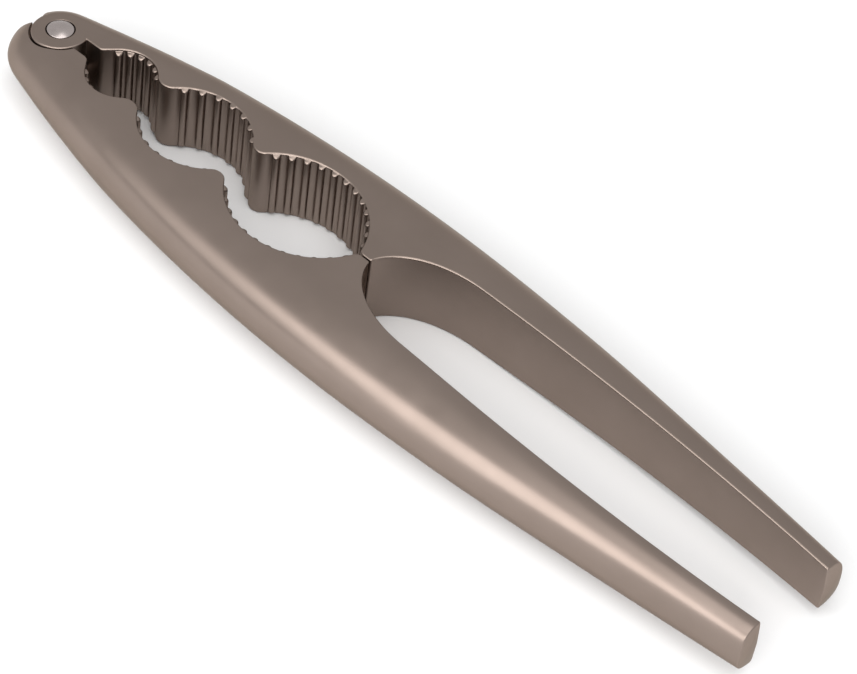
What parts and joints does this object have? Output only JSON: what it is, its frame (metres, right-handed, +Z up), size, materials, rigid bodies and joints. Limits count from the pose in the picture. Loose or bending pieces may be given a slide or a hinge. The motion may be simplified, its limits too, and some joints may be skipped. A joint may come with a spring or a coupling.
{
  "type": "nutcracker",
  "caption": "Hand-held lever nutcracker: two mirrored cast levers on a head rivet, ribbed nut pockets along the jaws and D-section handles.",
  "frame": {"origin": "centre of the closed nutcracker's bounding box in plan, on the surface that it lies on", "axes": "+X along the length from the hinged head to the handle ends, +Y across towards the right lever, +Z up along the rivet, with the nutcracker lying flat and closed"},
  "size_m": [0.2005, 0.0448, 0.0158],
  "materials": {
    "lever_finish": "satin champagne nickel plating on die-cast zinc alloy",
    "rivet_steel": "bright drawn steel, softly polished"
  },
  "bodies": {
    "left_side": {"left_lever": "lever_finish", "pivot_rivet": "rivet_steel"},
    "right_side": {"right_lever": "lever_finish"}
  },
  "joints": [
    {"name": "lever_hinge", "type": "hinge", "parent": "left_side", "child": "right_side", "pos_m": [-0.0906, 0, 0.00788], "axis": [0, 0, 1], "range_deg": [0, 35]}
  ]
}
